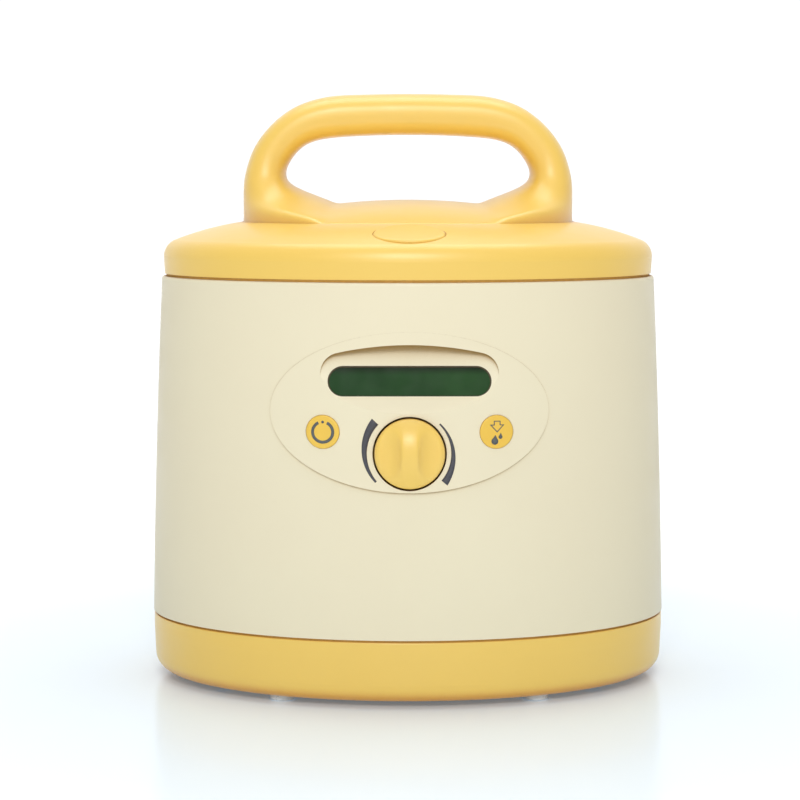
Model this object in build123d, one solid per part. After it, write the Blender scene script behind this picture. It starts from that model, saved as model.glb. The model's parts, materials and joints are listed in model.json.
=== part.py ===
from build123d import *
import os
from math import atan2, cos, degrees, hypot, radians, sin, sqrt, tan

# Electric breast pump with an oval barrel, a hinged lid with an arched handle and a diaphragm drive.
# Units are millimetres. +Z is up, the control panel faces -Y, and Z = 0 is the underside of the feet.
# The barrel's own axis is X = 0, Y = 0 while the pieces are made. save() then moves every piece by
# BARREL_Y, so that the whole object, knob included, is centred on Y = 0.

# ---- plan and levels --------------------------------------------------------------------------
ASPECT = 0.727            # depth over width of every oval
BASE_HALF = 130.0         # half width of the base tray
FOOT_Z = 3.0              # how far the feet hold the tray off the table
BASE_TOP = 32.6
BODY_Z0 = 33.6            # lower edge of the barrel shell
BODY_Z1 = 203.6           # upper edge of the barrel shell
BODY_HALF0 = 130.3
BODY_HALF1 = 124.5
BODY_BULGE = 0.6          # how far the middle of the side stands out past a straight taper
WALL = 3.0
COVER_Z0 = 204.8          # lower edge of the yellow top cover
COVER_RADIUS = 9.0        # between the cover's side and its sloping top
SLOPE_X0, SLOPE_Z0 = 117.9, 221.6      # where the cover's slope starts, at the side
SLOPE_X1, SLOPE_Z1 = 84.2, 230.6       # where it ends, at the well under the lid
SLOPE_BULGE = 1.0         # how far the slope's middle stands out past a straight line
LID_HALF = 83.6
ARCH_HALF = 83.1          # half width over the handle's legs
CROWN_Z = 241.7           # top of the lid's dome
HANDLE_TOP = 294.8
KNOB_FRONT = 101.9        # distance of the knob's face in front of the barrel's axis
BARREL_Y = (KNOB_FRONT - BODY_HALF0 * ASPECT) / 2

# ---- control panel ----------------------------------------------------------------------------
PANEL_Z = 142.4
PANEL_A, PANEL_B = 66.5, 38.0          # half width and half height of the raised oval
PANEL_TILT = 1.0                       # degrees: stands proud at the bottom, flush at the top
PANEL_GAP = 0.03
FLANGE = 6.0                           # how far the panel's hidden flange reaches past the opening
RECESS_HALF = 42.3
RECESS_LOW, RECESS_HIGH = 141.7, 174.4
RECESS_ARC = 151.0                     # radius of the recess's upper edge
RECESS_CORNER = 10.0
LIP_TILT, LIP_TOP = 27.0, 149.6        # sloping lip below the window, and where the floor starts
RECESS_TILT = 12.0                     # how far the floor leans back
WINDOW_W, WINDOW_H, WINDOW_Z = 77.4, 14.3, 157.0
KNOB_Z = 123.0
KNOB_R = 16.7
KNOB_HOLE_R = 17.6
KNOB_DOME_R = 24.0
SCOOP_R, SCOOP_X, SCOOP_Y = 8.0, 11.5, 2.2     # the upright finger hollows beside the knob's ridge
BUTTON_X, BUTTON_Z, BUTTON_R = 41.2, 133.0, 8.0
BUTTON_PROUD = 0.8
KEY_GAP = 0.1                          # round the two keys and the release button
BOARD_Y = -68.0                        # front face of the control board
BOARD_T = 1.6

# ---- lid, hinge and latch ---------------------------------------------------------------------
HINGE_Y, HINGE_Z = 64.5, 231.0
PIN_R = 1.5
KNUCKLE_R = 3.4
RIM_Z = 228.0                          # lower edge of the lid
DECK_Z0, DECK_Z1 = 209.0, 212.0
SEAT_Z = 214.0                         # floor of the two dished vacuum ports
LEDGE_Z = 206.5
LEDGE_HALF = 76.0
WELL_HALF = SLOPE_X1
RELEASE_W, RELEASE_L = 35.0, 21.4
RELEASE_Y = -75.0
GRIP_HALF = 14.5                       # half depth of the handle's bar
SPRING_Z0, SPRING_Z1 = 212.4, 221.4    # the release springs' lower and upper turns

# ---- drive ------------------------------------------------------------------------------------
PORT_X = 38.0                          # the two vacuum ports stand at +-PORT_X
CHAMBER_Z = 199.0
ROD_R = 3.5
PISTON_R = 16.0
CROSS_Z0, CROSS_Z1 = 171.0, 181.0
PLATE_LOW, PLATE_HIGH = 138.0, 185.0   # lower faces of the chassis plates
PLATE_T = 4.0
SCREW_R = 4.0
RUN = 0.05                             # radial running clearance
MOTOR_Y, MOTOR_R = 36.0, 16.0
PULLEY_Z0, PULLEY_Z1 = 126.0, 136.0
BIG_PULLEY_R, SMALL_PULLEY_R = 20.0, 8.0
GUIDE_X, GUIDE_R = 16.0, 3.0

# ---- electrics --------------------------------------------------------------------------------
INLET_Z, INLET_W, INLET_H = 62.0, 28.0, 21.0
INLET_FRONT = 70.0                     # inner end of the inlet, measured from the axis


# ---- helpers ----------------------------------------------------------------------------------
def block(x, y, z):
    """A box from three pairs of limits."""
    size = [high - low for low, high in (x, y, z)]
    mid = [(high + low) / 2 for low, high in (x, y, z)]
    return Pos(*mid) * Box(*size)


def rod_z(r, x, y, z0, z1):
    return Pos(x, y, (z0 + z1) / 2) * Cylinder(r, z1 - z0)


def rod_y(r, x, z, y0, y1):
    return Pos(x, (y0 + y1) / 2, z) * Rot(90, 0, 0) * Cylinder(r, y1 - y0)


def rod_x(r, y, z, x0, x1):
    return Pos((x0 + x1) / 2, y, z) * Rot(0, 90, 0) * Cylinder(r, x1 - x0)


def outline_xz(points, radii=0):
    """A closed face in the XZ plane, with a fillet radius at each corner."""
    corners = [(x, 0, z) for x, z in points]
    return make_face(FilletPolyline(*corners, radius=radii, close=True))


def oval(face):
    """Turns a half profile about Z and flattens it to the oval plan."""
    turned = revolve(face, Axis.Z)
    return scale(turned, by=(1, ASPECT, 1))


def oval_disc(half, z0, z1):
    face = Pos(0, 0, z0) * Ellipse(half, half * ASPECT)
    return extrude(face, z1 - z0)


def oval_ring(inner, outer, z0, z1):
    return oval_disc(outer, z0, z1) - oval_disc(inner, z0, z1)


def through_y(face, y0, y1):
    """A face drawn in X and Z, as a prism between two Y limits."""
    placed = Plane(origin=(0, y1, 0), x_dir=(1, 0, 0), z_dir=(0, -1, 0)) * face
    return extrude(placed, amount=y1 - y0, dir=(0, -1, 0))


def body_half(z):
    """Half width of the barrel's outside at height z."""
    share = (z - BODY_Z0) / (BODY_Z1 - BODY_Z0)
    return BODY_HALF0 + share * (BODY_HALF1 - BODY_HALF0) + 4 * BODY_BULGE * share * (1 - share)


def body_y(x, z, inset=0.0):
    """Half depth of the barrel at a given X, inset from its outside."""
    half = body_half(z) - inset
    return ASPECT * half * sqrt(1 - (x / half) ** 2)


def barrel(inset, z0, z1, top_radius=0.0):
    """The barrel's tapered oval form, inset from the outside."""
    zm, ze = (z0 + z1) / 2, z1 - top_radius
    low, middle, high = [(body_half(z) - inset, 0, z) for z in (z0, zm, ze)]
    edges = [Line((0, 0, z0), low), ThreePointArc(low, middle, high)]
    last = high
    if top_radius:
        last = (high[0] - top_radius, 0, z1)
        bend = top_radius * (1 - sqrt(0.5))
        edges.append(ThreePointArc(high, (high[0] - bend, 0, z1 - bend), last))
    edges += [Line(last, (0, 0, z1)), Line((0, 0, z1), (0, 0, z0))]
    return oval(make_face(Curve() + edges))


def four(x, y):
    return [(sx * x, sy * y) for sx in (-1, 1) for sy in (-1, 1)]


def on_oval(half, degrees):
    """The four points of an oval at +-degrees from the X axis."""
    return four(half * cos(radians(degrees)), half * ASPECT * sin(radians(degrees)))


def joined(pieces):
    whole = pieces[0]
    for piece in pieces[1:]:
        whole = whole + piece
    return whole


def save(name, *shapes):
    """Writes one node, which may hold several separate solids."""
    os.makedirs("parts", exist_ok=True)
    solids = [Pos(0, BARREL_Y, 0) * solid for shape in shapes for solid in shape.solids()]
    export_step(solids[0] if len(solids) == 1 else Compound(solids), f"parts/{name}.step")


# ---- base -------------------------------------------------------------------------------------
BASE_SCREWS = four(92, 50)
FEET = four(61.5, 68)


def base_screw(x, y):
    head = Pos(x, y, FOOT_Z + 1.2) * Cone(3.6, 2.0, 2.4)
    return head + rod_z(2.0, x, y, FOOT_Z + 2, 50)


def make_base():
    outside = outline_xz([(0, FOOT_Z), (129, FOOT_Z), (BASE_HALF, 26), (BASE_HALF, BASE_TOP),
                          (0, BASE_TOP)], [0, 9, 0, 0.8, 0])
    inside = outline_xz([(0, FOOT_Z + WALL), (126, FOOT_Z + WALL), (BASE_HALF - WALL, 26),
                         (BASE_HALF - WALL, BASE_TOP), (0, BASE_TOP)], [0, 6, 0, 0, 0])
    tray = oval(outside) - oval(inside)
    for x, y in BASE_SCREWS:
        tray += rod_z(6, x, y, FOOT_Z + 1, BASE_TOP)
    for x, y in BASE_SCREWS:
        tray -= base_screw(x, y)
    for x, y in FEET:
        tray -= rod_z(6.2, x, y, 0, FOOT_Z + 1.2)
    # ribs that hold the battery and posts under the power board
    for x in (-92, -8):
        tray += block((x - 1.2, x + 1.2), (-34, 34), (5, 26))
    for x, y in POWER_POSTS:
        tray += rod_z(3, x, y, 5, 14)
        tray -= power_screw(x, y)
    save("base_tray", tray)
    save("base_screws", *[base_screw(x, y) for x, y in BASE_SCREWS])
    feet = []
    for x, y in FEET:
        foot = rod_z(6.2, x, y, 0, FOOT_Z + 1.2)
        feet.append(fillet(foot.edges().sort_by(Axis.Z)[0], 1.0))
    save("clear_feet", *feet)
    save("base_seal", oval_ring(126.6, 128.8, BASE_TOP, BODY_Z0))


# ---- barrel shell -----------------------------------------------------------------------------
COVER_SCREWS = on_oval(116, 35)


def panel_prism(extra):
    return through_y(Pos(0, PANEL_Z) * Ellipse(PANEL_A + extra, PANEL_B + extra), -110, -30)


def cover_screw(x, y):
    return rod_z(1.6, x, y, 200, 214) + rod_z(3, x, y, 198.4, 200.6)


def panel_screw(angle):
    """A small screw through the panel's flange into the shell, from inside."""
    x = (PANEL_A + 3.2) * cos(radians(angle))
    z = PANEL_Z + (PANEL_B + 3.2) * sin(radians(angle))
    y = -body_y(x, z, WALL) + 2.0
    return rod_y(1.2, x, z, y - 3.4, y + 0.5) + rod_y(2.2, x, z, y, y + 1.6)


PANEL_SCREW_ANGLES = (35, 145, 215, 325)


def inlet_screw(x):
    return rod_y(1.5, x, INLET_Z, 80, 91) + rod_y(2.8, x, INLET_Z, 79, 81)


def make_shell():
    outer = barrel(0, BODY_Z0, BODY_Z1, 1.5)
    shell = outer - barrel(WALL, BODY_Z0, BODY_Z1 - WALL) - oval_disc(112, BODY_Z1 - 5, BODY_Z1 + 1)
    inside = barrel(1.0, BODY_Z0, BODY_Z1 - 1)
    for x, y in BASE_SCREWS:
        sx, sy = x / abs(x), y / abs(y)
        rib = Pos(x + sx * 8, y + sy * 5, 48) * Rot(0, 0, sx * sy * 32) * Box(20, 3, 28.6)
        shell += (rod_z(6, x, y, BODY_Z0, 62) + rib) & inside
    for x, y in BASE_SCREWS:
        shell -= base_screw(x, y)
    pad = block((-27, 27), (86, 96), (INLET_Z - 15, INLET_Z + 15)) & inside
    shell += pad
    shell -= block((-INLET_W / 2 - 0.2, INLET_W / 2 + 0.2), (80, 100),
                   (INLET_Z - INLET_H / 2 - 0.2, INLET_Z + INLET_H / 2 + 0.2))
    for x in (-21, 21):
        shell -= inlet_screw(x)
    shell -= panel_prism(PANEL_GAP)
    for x, y in COVER_SCREWS:
        shell -= rod_z(1.7, x, y, 200, 204)
    for angle in PANEL_SCREW_ANGLES:
        shell -= panel_screw(angle)
    save("body_shell", shell)
    seal = oval_ring(113, 122.3, BODY_Z1, COVER_Z0)
    for x, y in COVER_SCREWS:
        seal -= rod_z(1.7, x, y, BODY_Z1 - 1, COVER_Z0 + 1)
    save("cover_seal", seal)
    save("cover_screws", *[cover_screw(x, y) for x, y in COVER_SCREWS])
    plate_band = barrel(-0.8, 92, 128) - barrel(0, 92, 128)
    save("rating_plate", plate_band & block((-35, 35), (50, 100), (93, 127)))


# ---- control panel ----------------------------------------------------------------------------
def panel_surface():
    """The barrel's form, leaning out a little below the panel's top edge."""
    form = barrel(0, 60, BODY_Z1)
    top = PANEL_Z + PANEL_B
    axis = Axis((0, -body_y(0, top), top), (1, 0, 0))
    return form.rotate(axis, -PANEL_TILT)


def lip_y(z):
    proud = (PANEL_Z + PANEL_B - RECESS_LOW) * sin(radians(PANEL_TILT))
    return (z - RECESS_LOW) * tan(radians(LIP_TILT)) - body_y(0, RECESS_LOW) - proud


def floor_y(z):
    return lip_y(LIP_TOP) + (z - LIP_TOP) * tan(radians(RECESS_TILT))


def on_recess(shape):
    """Puts a shape drawn about the origin onto the recess floor, at the window's centre."""
    return Pos(0, floor_y(WINDOW_Z), WINDOW_Z) * Rot(-RECESS_TILT, 0, 0) * shape


def behind_recess(depth, thick):
    """A slab parallel to the recess floor: its front face lies depth behind the floor."""
    return on_recess(Pos(0, depth + thick / 2, 0) * Box(200, thick, 120))


def stadium(width, height, depth, thick):
    """A round-ended bar lying on the recess floor, depth behind it."""
    flat = Plane(origin=(0, 0, 0), x_dir=(1, 0, 0), z_dir=(0, -1, 0)) * SlotOverall(width, height)
    bar = extrude(flat, amount=thick, dir=(0, 1, 0))
    return on_recess(Pos(0, depth, 0) * bar)


def recess_outline(extra):
    """Front view of the recess: an arched top with rounded upper corners."""
    arch = Pos(0, RECESS_HIGH - RECESS_ARC) * Circle(RECESS_ARC + extra)
    face = arch & (Pos(0, 160) * Rectangle(2 * (RECESS_HALF + extra), 44))
    return fillet(face.vertices().group_by(Axis.Y)[-1], RECESS_CORNER + extra)


POSTS = [(x, z) for x in (-50, 50) for z in (118, 166)]


def board_screw(x, z):
    return rod_y(1.2, x, z, BOARD_Y - 7, BOARD_Y + 2) + rod_y(2.2, x, z, BOARD_Y + BOARD_T, BOARD_Y + 3.2)


def make_panel(surface):
    hollow = Pos(0, 2, 0) * barrel(WALL, 60, BODY_Z1)
    front = panel_prism(0) & surface
    flange = panel_prism(FLANGE) & barrel(WALL + 0.02, 60, BODY_Z1)
    skin = (front + flange) - hollow
    over_lip = Pos(0, lip_y(LIP_TOP), LIP_TOP) * Rot(-LIP_TILT, 0, 0) * Pos(0, -20, 0) * Box(200, 40, 120)
    pocket = through_y(recess_outline(0), -110, -70) & behind_recess(-40, 40) & over_lip
    backing = through_y(recess_outline(2.5), -110, -70) & behind_recess(-40, 42.5) & front
    knob_well = rod_y(19.6, 0, KNOB_Z, -91, -82)
    panel = skin + backing + knob_well
    for x, z in POSTS:
        panel += rod_y(3.2, x, z, -body_y(x, z, WALL) + 2, BOARD_Y)
    panel -= pocket
    panel -= rod_y(KNOB_HOLE_R, 0, KNOB_Z, -110, -84)
    panel -= rod_y(3.6, 0, KNOB_Z, -90, -80)
    panel -= stadium(WINDOW_W + 0.3, WINDOW_H + 0.3, -6, 12)
    panel -= stadium(WINDOW_W + 4, WINDOW_H + 6, 2.5, 20)
    for side in (-1, 1):
        panel -= rod_y(BUTTON_R + KEY_GAP, side * BUTTON_X, BUTTON_Z, -110, -70)
    for x, z in POSTS:
        panel -= board_screw(x, z)
    for angle in PANEL_SCREW_ANGLES:
        panel -= panel_screw(angle)
    save("control_panel", panel)
    save("panel_screws", *[panel_screw(angle) for angle in PANEL_SCREW_ANGLES])


def make_display():
    save("display_lens", stadium(WINDOW_W, WINDOW_H, 0.4, 1.6))
    ring = stadium(WINDOW_W + 3, WINDOW_H + 5, 2.6, 1.2) - stadium(WINDOW_W - 4, WINDOW_H - 3, 2, 3)
    save("display_gasket", ring)
    save("lcd_module", on_recess(Pos(0, 6.9, 0) * Box(72, 6, 17)))


def make_board():
    board = block((-55, 55), (BOARD_Y, BOARD_Y + BOARD_T), (108, 178))
    for x, z in POSTS:
        board -= rod_y(1.3, x, z, BOARD_Y - 1, BOARD_Y + 3)
    chips = [block((-18, -2), (-66.4, -64.6), (138, 154)), block((8, 26), (-66.4, -64.6), (140, 150)),
             block((-36, -30), (-66.4, -60), (150, 156)), block((-12, 12), (-66.4, -60.4), (168, 174))]
    save("control_board", joined([board] + chips))
    save("board_screws", *[board_screw(x, z) for x, z in POSTS])
    encoder = block((-6.5, 6.5), (-75, BOARD_Y), (KNOB_Z - 6.5, KNOB_Z + 6.5))
    encoder -= rod_y(3 + RUN, 0, KNOB_Z, -76, -69)
    save("encoder", encoder)
    switches = []
    for side in (-1, 1):
        x = side * BUTTON_X
        body = block((x - 3, x + 3), (-71.5, BOARD_Y), (BUTTON_Z - 3, BUTTON_Z + 3))
        switches.append(body + rod_y(1.7, x, BUTTON_Z, -72.6, -71))
    save("button_switches", *switches)


def make_knob():
    """A domed knob whose upright ridge is left between two finger scoops."""
    face = -KNOB_FRONT
    dome = Pos(0, face + KNOB_DOME_R, KNOB_Z) * Sphere(KNOB_DOME_R)
    knob = rod_y(KNOB_R, 0, KNOB_Z, face, -86) & dome
    for side in (-1, 1):
        knob -= Pos(side * SCOOP_X, face - SCOOP_Y, KNOB_Z) * Cylinder(SCOOP_R, 60)
    knob += rod_y(KNOB_R, 0, KNOB_Z, -91.5, -86)
    save("vacuum_knob", knob)
    save("knob_shaft", rod_y(3.0, 0, KNOB_Z, -86, -69.5))


def make_buttons(surface):
    proud = Pos(0, -BUTTON_PROUD, 0) * surface
    for name, side in (("power_button", -1), ("letdown_button", 1)):
        x = side * BUTTON_X
        cap = rod_y(BUTTON_R, x, BUTTON_Z, -110, -81.5) & proud
        collar = rod_y(BUTTON_R + 1.4, x, BUTTON_Z, -78.6, -77.2)
        stem = rod_y(3.0, x, BUTTON_Z, -82, -74.2)
        save(name, cap + rod_y(BUTTON_R, x, BUTTON_Z, -84, -77.2) + collar + stem)


# ---- top cover and deck -----------------------------------------------------------------------
DECK_SCREWS = on_oval(80, 45)


def cover_profile(inset):
    """Half profile of the cover's skin from its lower edge to the well, inset from the outside."""
    chord, bend = slope_angles()
    lean = chord + bend
    cx, cz = SLOPE_X0 - COVER_RADIUS * sin(lean), SLOPE_Z0 - COVER_RADIUS * cos(lean)
    arc = COVER_RADIUS - inset
    half_turn = (radians(90) - lean) / 2
    side = (cx + arc, cz)
    middle = (cx + arc * cos(half_turn), cz + arc * sin(half_turn))
    shoulder = (cx + arc * sin(lean), cz + arc * cos(lean))
    foot = (cx + arc - 0.5, COVER_Z0)
    crest_x = (SLOPE_X0 + SLOPE_X1) / 2
    crest = (crest_x - inset * sin(chord), slope_z(crest_x) - inset * cos(chord))
    top = (SLOPE_X1, SLOPE_Z1 - inset / cos(chord - bend))
    return foot, side, middle, shoulder, crest, top


def slope_angles():
    """The slope's chord angle, and how much its ends bend away from the chord."""
    run, rise = SLOPE_X0 - SLOPE_X1, SLOPE_Z1 - SLOPE_Z0
    return atan2(rise, run), 2 * atan2(2 * SLOPE_BULGE, hypot(run, rise))


def slope_z(x):
    """Height of the cover's convex slope at a half width x."""
    share = (x - SLOPE_X1) / (SLOPE_X0 - SLOPE_X1)
    chord = slope_angles()[0]
    return SLOPE_Z1 - share * (SLOPE_Z1 - SLOPE_Z0) + 4 * share * (1 - share) * SLOPE_BULGE / cos(chord)


def slope_degrees(y):
    """Steepness of the slope at a distance y in front of the barrel's axis."""
    x = abs(y) / ASPECT
    return degrees(atan2(slope_z(x - 1) - slope_z(x + 1), 2 * ASPECT))


def cover_solid(inset):
    foot, side, middle, shoulder, crest, top = [(x, 0, z) for x, z in cover_profile(inset)]
    edges = [Line((0, 0, COVER_Z0), foot), Line(foot, side), ThreePointArc(side, middle, shoulder),
             ThreePointArc(shoulder, crest, top), Line(top, (0, 0, top[2])),
             Line((0, 0, top[2]), (0, 0, COVER_Z0))]
    return oval(make_face(Curve() + edges))


def slope(shape):
    """Puts a shape drawn about the origin onto the cover's front slope, at the release button."""
    return Pos(0, RELEASE_Y, slope_z(-RELEASE_Y / ASPECT)) * Rot(slope_degrees(RELEASE_Y), 0, 0) * shape


def oval_button(extra, z0, z1):
    face = Pos(0, 0, z0) * Ellipse(RELEASE_W / 2 + extra, RELEASE_L / 2 + extra)
    return extrude(face, z1 - z0)


def deck_screw(x, y):
    return rod_z(1.5, x, y, LEDGE_Z + 0.5, DECK_Z1 + 0.5) + rod_z(2.8, x, y, DECK_Z1, DECK_Z1 + 1.8)


KNUCKLES = ((18.0, 23.6), (40.4, 46.0))
LID_KNUCKLE = (24.0, 40.0)


def make_cover():
    shell = cover_solid(0) - cover_solid(WALL)
    well = oval_disc(WELL_HALF + WALL, LEDGE_Z, SLOPE_Z1) & cover_solid(0.1)
    ledge_hole = oval_disc(LEDGE_HALF, LEDGE_Z - 1, DECK_Z0 + 1)
    cover = shell + well + (oval_disc(WELL_HALF + WALL, LEDGE_Z, DECK_Z0))
    cover -= oval_disc(WELL_HALF, DECK_Z0, SLOPE_Z1 + 5)
    cover -= ledge_hole
    for x, y in COVER_SCREWS:
        cover += rod_z(4, x, y, COVER_Z0, 217)
    # opening and guide collar for the release button
    cover -= slope(oval_button(KEY_GAP, -12, 8)) - oval_disc(WELL_HALF + WALL, 200, 235)
    cover -= slope(oval_button(KEY_GAP, -6.4, 8))
    # slot that lets the bolt into the well
    cover -= block((-11, 11), (-68, -58), (213.2, 217.3))
    for side in (-1, 1):
        for low, high in KNUCKLES:
            x = sorted((side * low, side * high))
            cover += block(x, (HINGE_Y - 3, HINGE_Y + 3.4), (223, HINGE_Z)) - cover_solid(WALL)
            cover += rod_x(KNUCKLE_R, HINGE_Y, HINGE_Z, *x)
        notch = sorted((side * (LID_KNUCKLE[0] - 0.4), side * (LID_KNUCKLE[1] + 0.4)))
        cover -= block(notch, (49, HINGE_Y + 4.2), (226.6, 240))
        hole = sorted((side * 17, side * 47))
        cover -= rod_x(PIN_R, HINGE_Y, HINGE_Z, *hole)
    for x, y in COVER_SCREWS:
        cover -= cover_screw(x, y)
    for x, y in DECK_SCREWS:
        cover -= deck_screw(x, y)
    save("top_cover", cover)
    pins = [rod_x(PIN_R, HINGE_Y, HINGE_Z, *sorted((side * 18.2, side * 46))) for side in (-1, 1)]
    save("hinge_pins", *pins)


def make_deck():
    deck = oval_disc(WELL_HALF - 0.3, DECK_Z0, DECK_Z1)
    for side in (-1, 1):
        deck -= rod_z(9, side * PORT_X, 0, DECK_Z0 - 1, DECK_Z1 + 1)
    for x, y in DECK_SCREWS:
        deck -= rod_z(1.6, x, y, DECK_Z0 - 1, DECK_Z1 + 1)
    save("deck", deck)
    save("deck_screws", *[deck_screw(x, y) for x, y in DECK_SCREWS])
    seats, rings, chambers, membranes, clamps = [], [], [], [], []
    for side in (-1, 1):
        x = side * PORT_X
        ring = rod_z(29, x, 0, SEAT_Z, SEAT_Z + 4) - rod_z(24.5, x, 0, SEAT_Z, SEAT_Z + 4)
        rings.append(fillet(ring.edges().filter_by(GeomType.CIRCLE).group_by(Axis.Z)[-1], 1.2))
        seat = rod_z(29, x, 0, DECK_Z1, SEAT_Z) - rod_z(2.5, x, 0, DECK_Z1 - 1, SEAT_Z + 1)
        for step in range(6):
            turn = radians(60 * step)
            seat -= rod_z(1.2, x + 6 * cos(turn), 6 * sin(turn), DECK_Z1 - 1, SEAT_Z + 1)
        seats.append(seat)
        chambers.append(rod_z(27, x, 0, CHAMBER_Z, DECK_Z0) - rod_z(22.5, x, 0, CHAMBER_Z, DECK_Z0 - 2)
                        - rod_z(9, x, 0, CHAMBER_Z, DECK_Z0))
        membranes.append(rod_z(27, x, 0, CHAMBER_Z - 1.6, CHAMBER_Z))
        clamps.append(rod_z(27, x, 0, CHAMBER_Z - 4.6, CHAMBER_Z - 1.6)
                      - rod_z(20, x, 0, CHAMBER_Z - 5, CHAMBER_Z - 1))
    save("port_seats", *seats)
    save("seat_rings", *rings)
    save("vacuum_chambers", *chambers)
    save("pump_diaphragms", *membranes)
    save("diaphragm_clamps", *clamps)


# ---- lid and handle ---------------------------------------------------------------------------
LID_SCREWS = four(58, 18)


def lid_screw(x, y):
    return rod_z(1.5, x, y, RIM_Z - 1, 236) + rod_z(2.8, x, y, RIM_Z - 1.6, RIM_Z)


def dome(half, edge_z, crown_z, low_z):
    """A shallow oval dome standing on a short upright rim."""
    mid_z = edge_z + (crown_z - edge_z) * 0.75
    arc = ThreePointArc((half, 0, edge_z), (half / 2, 0, mid_z), (0, 0, crown_z))
    edges = [Line((0, 0, low_z), (half, 0, low_z)), Line((half, 0, low_z), (half, 0, edge_z)), arc,
             Line((0, 0, crown_z), (0, 0, low_z))]
    return oval(make_face(Curve() + edges))


def half_face(edges, close_from, close_to):
    half = make_face(Curve() + edges + [Line(close_from, close_to)])
    return half + mirror(half, Plane.YZ)


def handle_outline():
    """Front view of the arch: the outside, less the opening for the fingers."""
    top = HANDLE_TOP
    crest = Spline((0, top), (39, top - 1.2), (53.5, top - 5.0), (63.9, top - 11.1), (72.3, top - 19.2),
                   (78.3, top - 28.3), (81.8, top - 38.4), (ARCH_HALF, 246), tangents=[(1, 0), (0, -1)])
    outside = half_face([crest, Line((ARCH_HALF, 246), (ARCH_HALF, RIM_Z + 1.5)),
                         Line((ARCH_HALF, RIM_Z + 1.5), (0, RIM_Z + 1.5))], (0, RIM_Z + 1.5), (0, top))
    ceiling = ThreePointArc((0, 274.2), (22, 273.7), (44, 272.2))
    inner = Spline((44, 272.2), (57.5, 264.2), (61.9, 255.4), tangents=[(1, -0.1), (0, -1)])
    fin = [Spline((61.9, 255.4), (58.7, 249.1), (53.4, 246.6), tangents=[(0, -1), (-1, -0.4)]),
           Line((53.4, 246.6), (37, 240)), Line((37, 240), (30, 234)), Line((30, 234), (0, 234))]
    inside = half_face([ceiling, inner] + fin, (0, 234), (0, 274.2))
    return outside - inside


def handle_depth():
    """Side view: the legs flare from the bar's depth to the whole dome at the bottom."""
    flare = Spline((60.8, SLOPE_Z1), (30, 236.5), (GRIP_HALF, 254), tangents=[(-1, 0.15), (0, 1)])
    side = [flare, Line((GRIP_HALF, 254), (GRIP_HALF, 300)), Line((GRIP_HALF, 300), (0, 300)),
            Line((60.8, SLOPE_Z1), (60.8, RIM_Z + 2)), Line((60.8, RIM_Z + 2), (0, RIM_Z + 2))]
    half = make_face(Curve() + side + [Line((0, RIM_Z + 2), (0, 300))])
    both = half + mirror(half, Plane.YZ)
    placed = Plane(origin=(-100, 0, 0), x_dir=(0, 1, 0), z_dir=(1, 0, 0)) * both
    return extrude(placed, amount=200, dir=(1, 0, 0))


def make_lid():
    limit = oval(outline_xz([(0, RIM_Z + 1), (LID_HALF - 0.3, RIM_Z + 1), (LID_HALF - 0.3, 300), (0, 300)]))
    arch = through_y(handle_outline(), -62, 62) & handle_depth() & limit
    inner_dome = dome(LID_HALF - WALL, SLOPE_Z1 - 0.2, CROWN_Z - WALL, RIM_Z)
    skin = dome(LID_HALF, SLOPE_Z1, CROWN_Z, RIM_Z)
    lid = (skin + arch) - inner_dome
    bosses = joined([rod_z(4, x, y, RIM_Z + 2, 240) for x, y in LID_SCREWS]) & skin
    lid += bosses
    for side in (-1, 1):
        x = sorted((side * LID_KNUCKLE[0], side * LID_KNUCKLE[1]))
        arm = block(x, (48, HINGE_Y), (229.4, 233.2)) - inner_dome
        lid += arm + rod_x(KNUCKLE_R, HINGE_Y, HINGE_Z, *x)
        lid -= rod_x(PIN_R + RUN, HINGE_Y, HINGE_Z, *x)
    for x, y in LID_SCREWS:
        lid -= lid_screw(x, y)
    save("handle_lid", lid)
    liner = oval_disc(LID_HALF - WALL - 0.3, RIM_Z, RIM_Z + 2)
    for x, y in LID_SCREWS:
        liner -= lid_screw(x, y)
    save("lid_liner", liner)
    save("lid_screws", *[lid_screw(x, y) for x, y in LID_SCREWS])
    save("lid_pads", *[rod_z(21, side * PORT_X, 0, RIM_Z - 3, RIM_Z) for side in (-1, 1)])
    hook = block((-12, 12), (-58.9, -50), (RIM_Z - 2, RIM_Z))
    for side in (-1, 1):
        x = sorted((side * 6.5, side * 10.5))
        hook += block(x, (-58.9, -56.9), (212.8, RIM_Z))
    save("lid_hook", hook)


# ---- release button and latch -----------------------------------------------------------------
WEDGE_Y, WEDGE_Z = -74.0, 214.0


def wedge_z(y):
    """The slope on which button and bolt slide: the bolt moves forward as far as the button goes in."""
    lean = radians(slope_degrees(RELEASE_Y))
    return WEDGE_Z - cos(lean) / (1 + sin(lean)) * (y - WEDGE_Y)


def side_prism(points, x0, x1):
    """A closed outline drawn in Y and Z, as a prism between two X limits."""
    face = make_face(Polyline(*[(0, y, z) for y, z in points], close=True))
    return Pos(x0, 0, 0) * extrude(face, amount=x1 - x0, dir=(1, 0, 0))


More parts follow.
